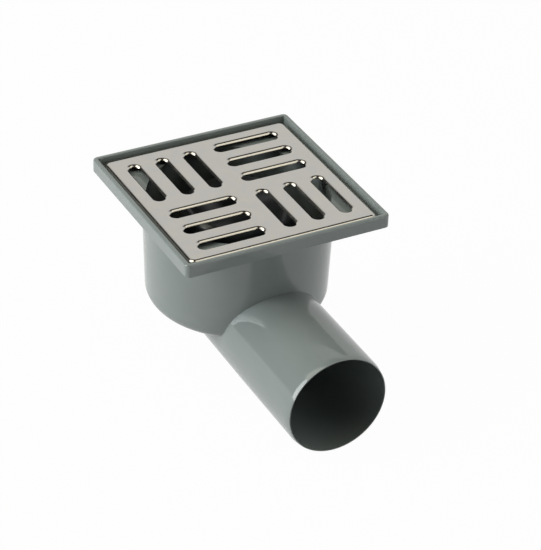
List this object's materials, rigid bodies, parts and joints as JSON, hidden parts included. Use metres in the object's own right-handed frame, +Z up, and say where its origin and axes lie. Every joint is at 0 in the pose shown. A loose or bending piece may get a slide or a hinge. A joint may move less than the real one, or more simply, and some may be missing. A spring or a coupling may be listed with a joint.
{
  "type": "gully trap",
  "caption": "Square floor gully with a side outlet: moulded plastic frame, bowl and pipe, a slotted steel grate, and a loose bell that makes the water seal.",
  "frame": {"origin": "on the bowl's axis, in the top face of the grate", "axes": "+Z up out of the floor, +X along the outlet pipe and away from the bowl, +Y across"},
  "size_m": [0.1522, 0.103, 0.0837],
  "materials": {
    "grey_plastic": "glossy moulded",
    "stainless_steel": "satin pressed sheet",
    "bell_plastic": "satin moulded"
  },
  "bodies": {
    "root": {"body": "grey_plastic", "grate": "stainless_steel", "trap_bell": "bell_plastic"}
  },
  "joints": []
}
